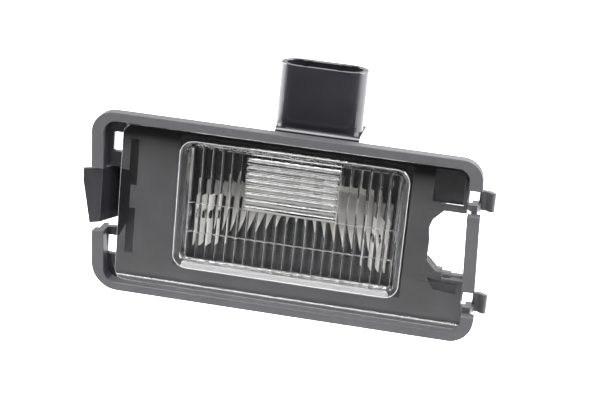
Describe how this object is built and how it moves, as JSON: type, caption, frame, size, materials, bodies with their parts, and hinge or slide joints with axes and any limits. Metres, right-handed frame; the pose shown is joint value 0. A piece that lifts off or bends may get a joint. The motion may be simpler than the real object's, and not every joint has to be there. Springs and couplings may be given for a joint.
{
  "type": "number plate lamp",
  "caption": "Snap-in lamp that lights a vehicle's number plate: leaning rim, recessed fluted clear lens, spring tongue, hooks and an upright oval plug socket.",
  "frame": {"origin": "middle of the rim's rear face, which seats on the panel", "axes": "-Y out through the lens, +X along the lamp from the spring tongue to the fixed hooks, +Z the way the plug socket opens"},
  "size_m": [0.086, 0.0235, 0.0516],
  "materials": {
    "housing": "moulded black plastic, satin on the rim and glossy on the socket",
    "lens": "clear polycarbonate with moulded flutes",
    "reflector": "satin pressed sheet",
    "contacts": "tinned spring strip"
  },
  "bodies": {
    "root": {"housing": "housing", "lens": "lens", "reflector": "reflector", "contact_strip_left": "contacts", "contact_strip_right": "contacts"}
  },
  "joints": []
}
